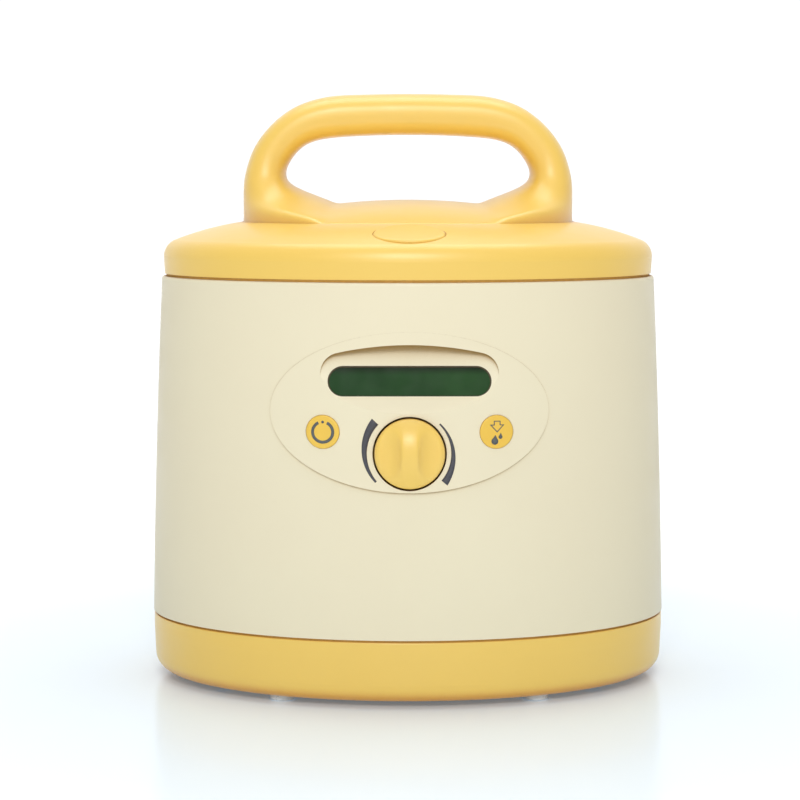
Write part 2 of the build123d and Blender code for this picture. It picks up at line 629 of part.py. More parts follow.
def make_latch():
    crown = slope(Pos(0, 0, 1.0 - 160) * Sphere(160))
    button = slope(oval_button(0, -3.0, 3)) & crown
    gap = 0.06
    stem = side_prism([(-78, 223.6), (-78, wedge_z(-78) + gap), (-71, wedge_z(-71) + gap), (-71, 226)], -5, 5)
    save("release_button", button + stem)
    wedge = side_prism([(-81, 208), (-81, 214.6), (-79.4, 214.6), (-78, wedge_z(-78)),
                        (-69, wedge_z(-69)), (-69, 208)], -5.6, 5.6)
    bolt = wedge + block((-10.2, 10.2), (-83, -80), (208, 216.8))
    for side in (-1, 1):
        x = sorted((side * 7, side * 10.2))
        bolt += block(x, (-83, -59.7), (213.6, 216.8))
    save("latch_bolt", bolt)
    guide = block((-16.5, 16.5), (-84, -62.4), (205.4, 207.8))
    for side in (-1, 1):
        x = sorted((side * 10.5, side * 16.5))
        guide += block(x, (-80, -62.6), (205.4, SPRING_Z0 - 0.4))
    guide -= oval_disc(WELL_HALF + WALL, 200, 215)
    save("latch_guide", guide)
    save("release_springs", *[Pos(side * 13.5, RELEASE_Y, 0) * coil(2.2, 0.35, SPRING_Z0, SPRING_Z1, 5)
                              for side in (-1, 1)])


def coil(radius, wire, z0, z1, turns):
    """A round-wire compression spring, upright about the Z axis."""
    path = Helix(pitch=(z1 - z0) / turns, height=z1 - z0, radius=radius)
    start = Plane(origin=path @ 0, z_dir=path % 0)
    return Pos(0, 0, z0) * sweep(start * Circle(wire), path=path, is_frenet=True)


# ---- drive ------------------------------------------------------------------------------------
COLUMNS = four(58, 30)


def chassis_screw(x, y):
    return rod_z(1.6, x, y, PLATE_HIGH - 2, DECK_Z0) + rod_z(3, x, y, PLATE_HIGH - 2, PLATE_HIGH)


def make_chassis():
    high_z = PLATE_HIGH + PLATE_T
    top = block((-64, 64), (-34, 34), (PLATE_HIGH, high_z))
    low = block((-64, 64), (-24, 56), (PLATE_LOW, PLATE_LOW + PLATE_T))
    sides = [block((x - 1.5, x + 1.5), (-12, 12), (PLATE_LOW, high_z)) for x in (-62.5, 62.5)]
    columns = [rod_z(4, x, y, high_z, DECK_Z0) for x, y in COLUMNS]
    chassis = joined([top, low] + sides + columns)
    for side in (-1, 1):
        chassis -= rod_z(PISTON_R + 1, side * PORT_X, 0, PLATE_HIGH - 1, high_z + 1)
        chassis -= rod_z(GUIDE_R, side * GUIDE_X, 0, PLATE_LOW + 1, PLATE_HIGH + 3)
    chassis -= rod_z(8, 0, 0, PLATE_LOW - 1, PLATE_LOW + 5)
    chassis -= rod_z(8, 0, 0, PLATE_HIGH - 1, high_z + 1)
    chassis -= rod_z(5, 0, MOTOR_Y, PLATE_LOW - 1, PLATE_LOW + 5)
    for x, y in COLUMNS:
        chassis -= chassis_screw(x, y)
    for x in (-9, 9):
        chassis -= motor_screw(x)
    save("drive_chassis", chassis)
    save("chassis_screws", *[chassis_screw(x, y) for x, y in COLUMNS])
    bearings = []
    for z in (PLATE_LOW, PLATE_HIGH):
        bearings.append(rod_z(8, 0, 0, z, z + PLATE_T) - rod_z(SCREW_R + RUN, 0, 0, z, z + PLATE_T))
    save("screw_bearings", *bearings)
    guides = [rod_z(GUIDE_R, side * GUIDE_X, 0, PLATE_LOW + 1, PLATE_HIGH + 3) for side in (-1, 1)]
    save("guide_rods", *guides)


def motor_screw(x):
    return (rod_z(1.5, x, MOTOR_Y, PLATE_LOW - 1, PLATE_LOW + PLATE_T + 3)
            + rod_z(2.6, x, MOTOR_Y, PLATE_LOW - 1.6, PLATE_LOW))


def make_motor():
    base = PLATE_LOW + PLATE_T
    motor = rod_z(MOTOR_R, 0, MOTOR_Y, base, base + 40)
    motor = chamfer(motor.edges().filter_by(GeomType.CIRCLE), 1.0)
    motor += rod_z(4.8, 0, MOTOR_Y, PLATE_LOW, base)
    motor -= rod_z(1.5 + RUN, 0, MOTOR_Y, PLATE_LOW - 1, base + 10)
    for x in (-9, 9):
        motor -= motor_screw(x)
    save("motor", motor)
    save("motor_screws", *[motor_screw(x) for x in (-9, 9)])
    pulley = rod_z(SMALL_PULLEY_R, 0, MOTOR_Y, PULLEY_Z0, PULLEY_Z1)
    pulley += rod_z(1.5, 0, MOTOR_Y, PULLEY_Z1, base + 9)
    for z in (PULLEY_Z0, PULLEY_Z1 - 1):
        pulley += rod_z(SMALL_PULLEY_R + 1.2, 0, MOTOR_Y, z, z + 1)
    save("motor_pulley", pulley)


def belt_loop(extra):
    """The space inside a belt loop round both pulleys."""
    big, small = BIG_PULLEY_R + extra, SMALL_PULLEY_R + extra
    lean = (big - small) / MOTOR_Y
    c, s = sqrt(1 - lean * lean), lean
    sides = [(big * c, big * s), (small * c, MOTOR_Y + small * s),
             (-small * c, MOTOR_Y + small * s), (-big * c, big * s)]
    web = make_face(Polyline(*sides, close=True))
    return web + Circle(big) + Pos(0, MOTOR_Y) * Circle(small)


def make_belt_drive():
    pulley = rod_z(BIG_PULLEY_R, 0, 0, PULLEY_Z0, PULLEY_Z1)
    for z in (PULLEY_Z0, PULLEY_Z1 - 1):
        pulley += rod_z(BIG_PULLEY_R + 1.2, 0, 0, z, z + 1)
    pulley -= rod_z(SCREW_R, 0, 0, PULLEY_Z0 - 1, PULLEY_Z1 + 1)
    for step in range(5):
        turn = radians(72 * step)
        pulley -= rod_z(3.5, 11.5 * cos(turn), 11.5 * sin(turn), PULLEY_Z0 - 1, PULLEY_Z1 + 1)
    save("screw_pulley", pulley)
    belt = belt_loop(0.9 + RUN) - belt_loop(RUN)
    save("drive_belt", extrude(Pos(0, 0, PULLEY_Z0 + 1.5) * belt, 7.0))
    save("lead_screw", rod_z(SCREW_R, 0, 0, PULLEY_Z0 - 2, PLATE_HIGH + PLATE_T + 1.5))


def make_crosshead():
    beam = block((-PORT_X - 7, PORT_X + 7), (-8, 8), (CROSS_Z0, CROSS_Z1))
    beam = fillet(beam.edges().filter_by(Axis.Z), 3)
    beam += rod_z(9, 0, 0, CROSS_Z0 - 6, CROSS_Z1)
    beam -= rod_z(SCREW_R + RUN, 0, 0, CROSS_Z0 - 8, CROSS_Z1 + 1)
    for side in (-1, 1):
        beam -= rod_z(GUIDE_R + RUN, side * GUIDE_X, 0, CROSS_Z0 - 1, CROSS_Z1 + 1)
    save("crosshead", beam)
    plate_top = CHAMBER_Z - 1.9
    rods = [rod_z(ROD_R, side * PORT_X, 0, CROSS_Z1, plate_top - 3) for side in (-1, 1)]
    plates = [rod_z(PISTON_R, side * PORT_X, 0, plate_top - 3, plate_top) for side in (-1, 1)]
    save("piston_rods", *rods)
    save("piston_plates", *plates)


# ---- power ------------------------------------------------------------------------------------
POWER_POSTS = [(x, y) for x in (12, 84) for y in (-34, 34)]


def power_screw(x, y):
    return rod_z(1.2, x, y, 9, 16) + rod_z(2.2, x, y, 15.6, 17)


def make_power():
    battery = block((-89, -11), (-32, 32), (6, 64))
    battery = fillet(battery.edges().filter_by(Axis.Z), 3)
    for x in (-75, -25):
        battery += block((x - 3, x + 3), (20, 26), (64, 70))
    save("battery_pack", battery)
    strap = block((-92, -8), (-9, 9), (64, 65.5))
    for x in (-91.5, -9.5):
        strap += block((x - 0.75, x + 0.75), (-9, 9), (26, 65.5))
    save("battery_strap", strap)
    board = block((6, 90), (-39, 39), (14, 15.6))
    for x, y in POWER_POSTS:
        board -= rod_z(1.3, x, y, 13, 17)
    parts = [block((18, 56), (-24, 8), (15.6, 44)), rod_z(7, 72, -16, 15.6, 38), rod_z(7, 72, 4, 15.6, 38),
             block((20, 50), (22, 28), (15.6, 36)), block((62, 80), (20, 30), (15.6, 26))]
    save("power_board", joined([board] + parts))
    save("power_screws", *[power_screw(x, y) for x, y in POWER_POSTS])


def make_inlet():
    half_w, half_h = INLET_W / 2, INLET_H / 2
    rear = body_y(0, INLET_Z) + 0.3
    body = block((-half_w, half_w), (INLET_FRONT, rear), (INLET_Z - half_h, INLET_Z + half_h))
    flange = block((-26, 26), (83, 86), (INLET_Z - 13, INLET_Z + 13))
    inlet = body + flange
    inlet -= block((-12, 12), (76, rear + 1), (INLET_Z - 8, INLET_Z + 8))
    for x in (-21, 21):
        inlet -= inlet_screw(x)
    for x, z in INLET_PINS:
        inlet -= block((x - 1, x + 1), (66, 78), (z - 2, z + 2))
    save("mains_inlet", inlet)
    pins = [block((x - 1, x + 1), (66, 89), (z - 2, z + 2)) for x, z in INLET_PINS]
    save("inlet_pins", *pins)
    save("inlet_screws", *[inlet_screw(x) for x in (-21, 21)])


INLET_PINS = [(-7, INLET_Z - 1.5), (0, INLET_Z + 2.5), (7, INLET_Z - 1.5)]


def make_ribbon():
    """A flat cable from the power board up to the control board."""
    route = [(-36, 17), (-36, 30), (-56, 52), (-56, 140), (-64.6, 148)]
    line = FilletPolyline(*[(0, y, z) for y, z in route], radius=[5, 12, 12])
    ribbon = extrude(make_face(offset(line, 0.5, side=Side.BOTH)), amount=14, dir=(1, 0, 0))
    save("ribbon_cable", Pos(26, 0, 0) * ribbon)


make_base()
make_shell()
front_surface = panel_surface()
make_panel(front_surface)
make_display()
make_board()
make_knob()
make_buttons(front_surface)
make_cover()
make_deck()
make_lid()
make_latch()
make_chassis()
make_motor()
make_belt_drive()
make_crosshead()
make_power()
make_inlet()
make_ribbon()
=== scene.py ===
import json
from math import cos, pi, radians, sin, sqrt

import bmesh
import bpy
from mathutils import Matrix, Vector
from mathutils.bvhtree import BVHTree


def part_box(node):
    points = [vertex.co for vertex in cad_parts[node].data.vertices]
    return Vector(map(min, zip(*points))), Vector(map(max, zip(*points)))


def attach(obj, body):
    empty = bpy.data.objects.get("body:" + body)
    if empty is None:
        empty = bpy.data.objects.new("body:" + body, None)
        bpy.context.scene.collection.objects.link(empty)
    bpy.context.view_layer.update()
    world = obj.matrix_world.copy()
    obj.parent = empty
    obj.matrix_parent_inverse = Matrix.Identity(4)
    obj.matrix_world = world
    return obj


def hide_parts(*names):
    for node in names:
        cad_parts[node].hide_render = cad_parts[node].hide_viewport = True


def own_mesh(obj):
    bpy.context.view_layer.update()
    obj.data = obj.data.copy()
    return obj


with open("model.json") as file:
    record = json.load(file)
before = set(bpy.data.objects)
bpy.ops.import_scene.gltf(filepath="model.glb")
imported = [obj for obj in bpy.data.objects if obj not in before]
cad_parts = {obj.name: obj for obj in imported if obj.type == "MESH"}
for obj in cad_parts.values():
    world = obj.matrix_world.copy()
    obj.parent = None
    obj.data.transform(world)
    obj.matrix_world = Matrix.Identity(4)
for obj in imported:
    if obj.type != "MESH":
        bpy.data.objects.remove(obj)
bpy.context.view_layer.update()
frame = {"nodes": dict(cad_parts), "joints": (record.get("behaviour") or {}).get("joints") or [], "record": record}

MM = 0.001


# ---- where things are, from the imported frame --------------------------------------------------
def box_centre(node):
    low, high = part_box(node)
    return (Vector(low) + Vector(high)) / 2


AXIS_Y = box_centre("body_shell").y       # the barrel's own axis, in the shared frame
KNOB_CENTRE = box_centre("vacuum_knob")
KNOB_LOW, KNOB_HIGH = [Vector(corner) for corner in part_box("vacuum_knob")]
KNOB_R = (KNOB_HIGH.x - KNOB_LOW.x) / 2
RIM_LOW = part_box("handle_lid")[0][2]


# ---- camera and light -------------------------------------------------------------------------
LENS_MM = 107.06
CAMERA_PLACE = (-0.011, AXIS_Y - 1.2095, 0.2551)
CAMERA_TILT, CAMERA_TURN = 90 - 5.45, -0.33      # degrees from looking straight down, and about Z
WHITE = (1, 1, 1, 1)
SURROUND = 1.06                                  # how bright the surround looks
FILL, SIDE_FILL = 0.55, 0.12                     # how much it lights, in the middle and at the sides
KEY_WATTS, TOP_WATTS = 8.6, 8.0
LIGHT_AIM = (0, 0, 0.15)


def make_camera():
    data = bpy.data.cameras.new("camera")
    data.lens = LENS_MM
    data.sensor_width = 36.0
    data.clip_end = 20.0
    camera = bpy.data.objects.new("camera", data)
    camera.location = CAMERA_PLACE
    camera.rotation_euler = (radians(CAMERA_TILT), 0, radians(CAMERA_TURN))
    bpy.context.collection.objects.link(camera)
    bpy.context.scene.camera = camera


def area_light(name, place, aim, size, watts):
    data = bpy.data.lights.new(name, "AREA")
    data.shape = "RECTANGLE"
    data.size, data.size_y = size
    data.energy = watts
    light = bpy.data.objects.new(name, data)
    light.location = place
    light.rotation_euler = (Vector(aim) - Vector(place)).to_track_quat("-Z", "Y").to_euler()
    bpy.context.collection.objects.link(light)


def make_light():
    """A white surround that looks brighter than it lights, with a soft key and a soft top light."""
    world = bpy.data.worlds.new("studio")
    world.use_nodes = True
    nodes, links = world.node_tree.nodes, world.node_tree.links
    fill = nodes["Background"]
    fill.inputs["Color"].default_value = WHITE
    white = nodes.new("ShaderNodeBackground")
    white.inputs["Color"].default_value = WHITE
    white.inputs["Strength"].default_value = SURROUND
    # the surround is darker to the left and right, so that the barrel's sides shade off
    place = nodes.new("ShaderNodeTexCoord")
    split = nodes.new("ShaderNodeSeparateXYZ")
    links.new(place.outputs["Generated"], split.inputs["Vector"])
    side = nodes.new("ShaderNodeMath")
    side.operation = "ABSOLUTE"
    links.new(split.outputs["X"], side.inputs[0])
    falloff = nodes.new("ShaderNodeMapRange")
    for key, number in (("From Min", 0.35), ("From Max", 0.95), ("To Min", FILL), ("To Max", SIDE_FILL)):
        falloff.inputs[key].default_value = number
    links.new(side.outputs["Value"], falloff.inputs["Value"])
    links.new(falloff.outputs["Result"], fill.inputs["Strength"])
    path = nodes.new("ShaderNodeLightPath")
    seen = nodes.new("ShaderNodeMath")
    seen.operation = "MAXIMUM"
    links.new(path.outputs["Is Camera Ray"], seen.inputs[0])
    links.new(path.outputs["Is Glossy Ray"], seen.inputs[1])
    mix = nodes.new("ShaderNodeMixShader")
    links.new(seen.outputs["Value"], mix.inputs["Fac"])
    links.new(fill.outputs["Background"], mix.inputs[1])
    links.new(white.outputs["Background"], mix.inputs[2])
    links.new(mix.outputs["Shader"], nodes["World Output"].inputs["Surface"])
    bpy.context.scene.world = world
    bpy.context.scene.view_settings.view_transform = "Standard"
    area_light("key", (-0.05, -1.5, 0.95), LIGHT_AIM, (0.5, 0.4), KEY_WATTS)
    area_light("top", (0.0, 0.1, 1.4), LIGHT_AIM, (1.1, 0.9), TOP_WATTS)


make_camera()
make_light()


# ---- materials --------------------------------------------------------------------------------
def srgb(r, g, b):
    return (*[((v / 255 + 0.055) / 1.055) ** 2.4 for v in (r, g, b)], 1)


class Graph:
    """A material's node tree, with short calls for the few nodes used here."""

    def __init__(self, name):
        self.material = bpy.data.materials.new(name)
        self.material.use_nodes = True
        self.nodes, self.links = self.material.node_tree.nodes, self.material.node_tree.links
        self.shader = self.nodes["Principled BSDF"]
        self.place = self.nodes.new("ShaderNodeTexCoord").outputs["Object"]

    def noise(self, scale, detail=3.0):
        node = self.nodes.new("ShaderNodeTexNoise")
        node.inputs["Scale"].default_value = scale
        node.inputs["Detail"].default_value = detail
        self.links.new(self.place, node.inputs["Vector"])
        return node.outputs["Fac"]

    def blend(self, factor, low, high, start=0.3, end=0.7):
        """A colour between two, by where the factor lies between start and end."""
        node = self.nodes.new("ShaderNodeValToRGB")
        node.color_ramp.elements[0].position = start
        node.color_ramp.elements[0].color = low
        node.color_ramp.elements[1].position = end
        node.color_ramp.elements[1].color = high
        self.links.new(factor, node.inputs["Fac"])
        return node.outputs["Color"]

    def mix(self, factor, first, second, kind="MIX"):
        node = self.nodes.new("ShaderNodeMix")
        node.data_type = "RGBA"
        node.blend_type = kind
        for value, socket in ((factor, node.inputs[0]), (first, node.inputs[6]), (second, node.inputs[7])):
            if isinstance(value, (float, tuple)):
                socket.default_value = value
            else:
                self.links.new(value, socket)
        return node.outputs[2]

    def range(self, value, low, high, to_low=0.0, to_high=1.0):
        node = self.nodes.new("ShaderNodeMapRange")
        node.interpolation_type = "SMOOTHSTEP"
        for key, number in (("From Min", low), ("From Max", high), ("To Min", to_low), ("To Max", to_high)):
            node.inputs[key].default_value = number
        self.links.new(value, node.inputs["Value"])
        return node.outputs["Result"]

    def axis(self, letter):
        node = self.nodes.new("ShaderNodeSeparateXYZ")
        self.links.new(self.place, node.inputs["Vector"])
        return node.outputs[letter]

    def hollow(self, distance):
        """1 in the open, towards 0 in seams and recesses."""
        node = self.nodes.new("ShaderNodeAmbientOcclusion")
        node.samples = 8
        node.inputs["Distance"].default_value = distance
        return node.outputs["AO"]

    def colour(self, socket):
        self.links.new(socket, self.shader.inputs["Base Color"])

    def roughness(self, factor, low, high):
        self.links.new(self.range(factor, 0.3, 0.7, low, high), self.shader.inputs["Roughness"])

    def bump(self, factor, height):
        node = self.nodes.new("ShaderNodeBump")
        node.inputs["Strength"].default_value = 1.0
        node.inputs["Distance"].default_value = height
        self.links.new(factor, node.inputs["Height"])
        self.links.new(node.outputs["Normal"], self.shader.inputs["Normal"])


def moulded(name, light, dark, painted_shade, rough=(0.32, 0.42), distance=0.012, specular=0.4):
    """Moulded plastic: a faint cloudiness, a fine grain, and painted shade: a deeper colour in seams and recesses,
    from an occlusion node.
    """
    graph = Graph(name)
    tone_and_shade = graph.blend(graph.noise(14.0), dark, light)
    fine = graph.noise(1500.0, 2.0)
    # painted shade: the colour goes towards the dark third colour where the occlusion node finds seams and
    # recesses
    tone_and_shade = graph.mix(graph.range(graph.hollow(distance), 0.35, 0.95), painted_shade, tone_and_shade)
    graph.colour(tone_and_shade)
    graph.roughness(graph.noise(60.0), *rough)
    graph.bump(fine, 0.00002)
    graph.shader.inputs["Specular IOR Level"].default_value = specular
    return graph.material


def rubber(name, colour, rough=0.75):
    graph = Graph(name)
    low = tuple(v * 0.86 for v in colour[:3]) + (1,)
    graph.colour(graph.blend(graph.noise(700.0), low, colour))
    graph.roughness(graph.noise(300.0), rough - 0.1, rough + 0.1)
    graph.bump(graph.noise(1400.0), 0.00003)
    return graph.material


def metal(name, colour, rough):
    graph = Graph(name)
    low = tuple(v * 0.82 for v in colour[:3]) + (1,)
    graph.colour(graph.blend(graph.noise(300.0), low, colour))
    graph.roughness(graph.noise(800.0), rough - 0.08, rough + 0.1)
    graph.bump(graph.noise(1800.0), 0.00001)
    graph.shader.inputs["Metallic"].default_value = 1.0
    return graph.material


def window_glass():
    """The display window: dark green, with painted shade darkening its upper edge and painted light making it
    lighter to the lower right.
    """
    graph = Graph("display_window")
    low, high = [Vector(corner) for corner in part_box("display_lens")]
    # painted light: the green grows lighter towards the right
    across = graph.range(graph.axis("X"), low.x, high.x)
    # painted shade: the upper edge darkens, as in the shade of the hood above the window
    up = graph.range(graph.axis("Z"), high.z - 0.0045, high.z - 0.0002)
    green = graph.mix(across, srgb(30, 64, 30), srgb(40, 76, 36))
    green = graph.mix(0.3, green, graph.blend(graph.noise(70.0), srgb(26, 56, 28), srgb(42, 80, 40)))
    graph.colour(graph.mix(up, green, srgb(24, 38, 20)))
    graph.roughness(graph.noise(120.0), 0.10, 0.16)
    graph.bump(graph.noise(30.0), 0.00002)
    graph.shader.inputs["Specular IOR Level"].default_value = 0.12
    return graph.material


def clear_rubber():
    graph = Graph("clear_rubber")
    graph.colour(graph.blend(graph.noise(200.0), srgb(240, 240, 236), srgb(250, 250, 247)))
    graph.roughness(graph.noise(300.0), 0.25, 0.4)
    graph.bump(graph.noise(900.0), 0.00002)
    graph.shader.inputs["Transmission Weight"].default_value = 0.2
    graph.shader.inputs["IOR"].default_value = 1.43
    return graph.material


def matte_mark(name, colour):
    graph = Graph(name)
    low = tuple(v * 0.85 for v in colour[:3]) + (1,)
    graph.colour(graph.blend(graph.noise(900.0), low, colour))
    graph.roughness(graph.noise(700.0), 0.45, 0.6)
    return graph.material


# in each moulded look the third colour is painted shade for seams and recesses; the first two are the plastic's
# own cloudy tone
YELLOW = moulded("yellow_plastic", srgb(244, 204, 94), srgb(243, 202, 91), srgb(224, 160, 52),
                 rough=(0.38, 0.46), specular=0.5)
for socket, number in (("Coat Weight", 0.7), ("Coat Roughness", 0.34)):
    YELLOW.node_tree.nodes["Principled BSDF"].inputs[socket].default_value = number
BUTTON_YELLOW = moulded("button_yellow", srgb(242, 200, 84), srgb(240, 193, 74), srgb(225, 170, 70),
                        distance=0.003)
CREAM = moulded("cream_plastic", srgb(240, 230, 199), srgb(239, 228, 197), srgb(174, 138, 72),
                rough=(0.36, 0.46), distance=0.018, specular=0.3)
INK = matte_mark("dark_ink", srgb(74, 74, 80))
ICON_INK = matte_mark("grey_ink", srgb(92, 97, 96))
# dark brown for the line round the window: partly the gap, partly a painted shadow line
WINDOW_GAP_SHADE = matte_mark("window_gap_shade", srgb(66, 56, 24))
CAD_LOOKS = {
    "yellow_plastic": YELLOW,
    "cream_plastic": CREAM,
    "clear_rubber": clear_rubber(),
    "seal_rubber": rubber("seal_rubber", srgb(208, 158, 74)),
    "display_window": window_glass(),
    # in these moulded looks too, the third colour is painted shade for seams and recesses
    "white_plastic": moulded("white_plastic", srgb(236, 236, 232), srgb(228, 228, 223), srgb(190, 190, 184)),
    "black_plastic": moulded("black_plastic", srgb(38, 38, 40), srgb(30, 30, 32), srgb(14, 14, 16)),
    "grey_plastic": moulded("grey_plastic", srgb(150, 151, 154), srgb(140, 141, 145), srgb(100, 100, 104)),
    "circuit_board": moulded("circuit_board", srgb(26, 92, 52), srgb(20, 80, 44), srgb(12, 50, 28)),
    "steel": metal("steel", srgb(200, 202, 205), 0.32),
    "bearing_bronze": metal("bearing_bronze", srgb(205, 160, 95), 0.3),
    "aluminium": metal("aluminium", srgb(212, 214, 217), 0.38),
    "belt_rubber": rubber("belt_rubber", srgb(26, 26, 28)),
}


def dress_cad():
    """Every CAD node gets the look of its own material slot."""
    for part in frame["record"]["subparts"]:
        node = frame["nodes"][part["node"]]
        node.data.materials.clear()
        node.data.materials.append(CAD_LOOKS[part["material_slot"]])


# ---- mesh helpers -----------------------------------------------------------------------------
def new_piece(name, bm, material, body):
    bmesh.ops.recalc_face_normals(bm, faces=bm.faces)
    mesh = bpy.data.meshes.new(name)
    bm.to_mesh(mesh)
    bm.free()
    for face in mesh.polygons:
        face.use_smooth = True
    piece = bpy.data.objects.new(name, mesh)
    bpy.context.collection.objects.link(piece)
    mesh.materials.append(material)
    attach(piece, body)
    return piece


def front_of(node):
    """A function that gives the Y of a node's front surface at (x, z), in metres."""
    mesh = frame["nodes"][node].data
    tree = BVHTree.FromPolygons([v.co[:] for v in mesh.vertices], [tuple(p.vertices) for p in mesh.polygons])
    return lambda x, z: tree.ray_cast(Vector((x, -1, z)), Vector((0, 1, 0)))[0].y


INK_LIFT, INK_SINK = 0.08 * MM, 0.04 * MM       # how far a printed mark stands out of its face, and goes in


def slab(bm, faces, surface, lift=INK_LIFT, sink=INK_SINK):
    """Closed thin slabs lying on a surface, from outlines drawn in X and Z, in metres."""
    for outline in faces:
        front = [bm.verts.new((x, surface(x, z) - lift, z)) for x, z in outline]
        back = [bm.verts.new((x, surface(x, z) + sink, z)) for x, z in outline]
        bm.faces.new(front)
        bm.faces.new(back[::-1])
        for i in range(len(outline)):
            j = (i + 1) % len(outline)
            bm.faces.new((front[i], back[i], back[j], front[j]))


def ribbon(bm, inner, outer, surface, closed=False, lift=INK_LIFT, sink=INK_SINK):
    """A closed thin band between two lines of the same number of points, in X and Z, in metres."""
    rows = []
    for (ax, az), (bx, bz) in zip(inner, outer):
        corners = ((ax, az, -lift), (bx, bz, -lift), (bx, bz, sink), (ax, az, sink))
        rows.append([bm.verts.new((x, surface(x, z) + offset, z)) for x, z, offset in corners])
    count = len(rows) if closed else len(rows) - 1
    for i in range(count):
        here, there = rows[i], rows[(i + 1) % len(rows)]
        for k in range(4):
            bm.faces.new((here[k], here[(k + 1) % 4], there[(k + 1) % 4], there[k]))
    if not closed:
        bm.faces.new(rows[0])
        bm.faces.new(rows[-1][::-1])


def polar(cx, cz, radius, degrees):
    return cx + radius * cos(radians(degrees)), cz + radius * sin(radians(degrees))


def cap(half_u, half_v, front, rim, depth, place, rings=36, turns=96):
    """A closed button-like form: a front surface front(u, v), a rounded rim, and a straight side."""
    bm = bmesh.new()
    rows = []
    for ring in range(1, rings + 1):
        share = sin(pi / 2 * ring / rings) ** 1.3
        row = []
        for step in range(turns):
            turn = 2 * pi * step / turns
            u, v = half_u * share * cos(turn), half_v * share * sin(turn)
            edge = max(0.0, rim - (1 - share) * min(half_u, half_v))
            w = front(u, v) - (rim - sqrt(max(rim * rim - edge * edge, 0.0)))
            row.append(bm.verts.new(place(u, v, w)))
        rows.append(row)
    foot = [2 * pi * k / turns for k in range(turns)]
    rows.append([bm.verts.new(place(half_u * cos(turn), half_v * sin(turn), -depth)) for turn in foot])
    top = bm.verts.new(place(0, 0, front(0, 0)))
    for k in range(turns):
        bm.faces.new((top, rows[0][k], rows[0][(k + 1) % turns]))
    for here, there in zip(rows, rows[1:]):
        for k in range(turns):
            j = (k + 1) % turns
            bm.faces.new((here[k], here[j], there[j], there[k]))
    bm.faces.new(rows[-1])
    return bm


def smooth_step(low, high, value):
    share = min(max((value - low) / (high - low), 0.0), 1.0)
    return share * share * (3 - 2 * share)


# ---- knob and keys ----------------------------------------------------------------------------
KNOB_DOME_R = 24.0
HOLLOW_R, HOLLOW_X, HOLLOW_OUT = 8.0, 11.5, 2.5  # finger hollows: radius, place, distance out
RIDGE_SOFT, RIDGE_LIFT = 1.1, 0.12               # rounding of the ridge, and its correction
KNOB_BACK_Y = -0.086                             # the cap's back, from the barrel's axis
KEY_R = 8.0 * MM
KEY_REACH = 0.97                                 # the key's rim is sampled just inside its edge


def knob_front(u, v):
    """The knob's dome with an upright ridge between two shallow finger hollows."""
    x, z = abs(u) / MM, v / MM
    dome = KNOB_DOME_R - sqrt(KNOB_DOME_R ** 2 - x * x - z * z)
    hollow = sqrt(max(HOLLOW_R ** 2 - (x - HOLLOW_X) ** 2, 0.0)) - HOLLOW_OUT
    gap = hollow - dome
    return -(dome + (gap + sqrt(gap * gap + RIDGE_SOFT * RIDGE_SOFT)) / 2 - RIDGE_LIFT) * MM


def make_knob():
    centre, front_y = KNOB_CENTRE, KNOB_LOW.y
    depth = AXIS_Y + KNOB_BACK_Y - front_y
    bm = cap(KNOB_R, KNOB_R, knob_front, 0.8 * MM, depth,
             lambda u, v, w: (centre.x + u, front_y - w, centre.z + v), rings=48, turns=128)
    knob = new_piece("knob_cap", bm, YELLOW, "knob")
    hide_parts("vacuum_knob")


def make_key(node, name, body):
    surface = front_of(node)
    low, high = [Vector(corner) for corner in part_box(node)]
    centre = (low + high) / 2
    base = surface(centre.x, centre.z)

    def front(u, v):
        return base - surface(centre.x + KEY_REACH * u, centre.z + KEY_REACH * v)

    bm = cap(KEY_R, KEY_R, front, 0.9 * MM, high.y - base,
             lambda u, v, w: (centre.x + u, base - w, centre.z + v), rings=20, turns=72)
    key = new_piece(name, bm, BUTTON_YELLOW, body)
    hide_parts(node)
    return centre, surface


def make_power_icon(centre, surface):
    bm = bmesh.new()
    angles = [115 + 310 * k / 48 for k in range(49)]
    ribbon(bm, [polar(centre.x, centre.z, 4.1 * MM, a) for a in angles],
           [polar(centre.x, centre.z, 5.5 * MM, a) for a in angles], surface)
    slab(bm, [[polar(centre.x, centre.z + 4.75 * MM, 0.65 * MM, 22.5 * k) for k in range(16)]], surface)
    new_piece("power_icon", bm, ICON_INK, "power_key")


def drop(cx, cz, radius, tip_x, tip_z):
    """A teardrop's outline: a circle drawn out to a point."""
    away = Vector((tip_x - cx, tip_z - cz))
    lean = away.angle_signed(Vector((0, 1)))
    points = []
    for k in range(21):
        turn = radians(130 + 280 * k / 20) + lean
        points.append((cx + radius * cos(turn), cz + radius * sin(turn)))
    return points + [(tip_x, tip_z)]


def make_letdown_icon(centre, surface):
    bm = bmesh.new()
    outer = [(-1.6, 5.3), (-1.6, 3.5), (-3.5, 3.5), (0, -0.3), (3.5, 3.5), (1.6, 3.5), (1.6, 5.3)]
    inner = [(-1.15, 4.9), (-1.15, 3.1), (-2.55, 3.1), (0, 0.35), (2.55, 3.1), (1.15, 3.1), (1.15, 4.9)]

    def placed(points):
        return [(centre.x + (x + 0.3) * MM, centre.z + z * MM) for x, z in points]

    ribbon(bm, placed(inner), placed(outer), surface, closed=True)
    for cx, cz, radius, tx, tz in ((-1.1, -4.4, 1.65, -0.8, -1.4), (1.6, -2.4, 0.95, 1.8, -0.4)):
        slab(bm, [placed(drop(cx, cz, radius, tx, tz))], surface)
    new_piece("letdown_icon", bm, ICON_INK, "letdown_key")


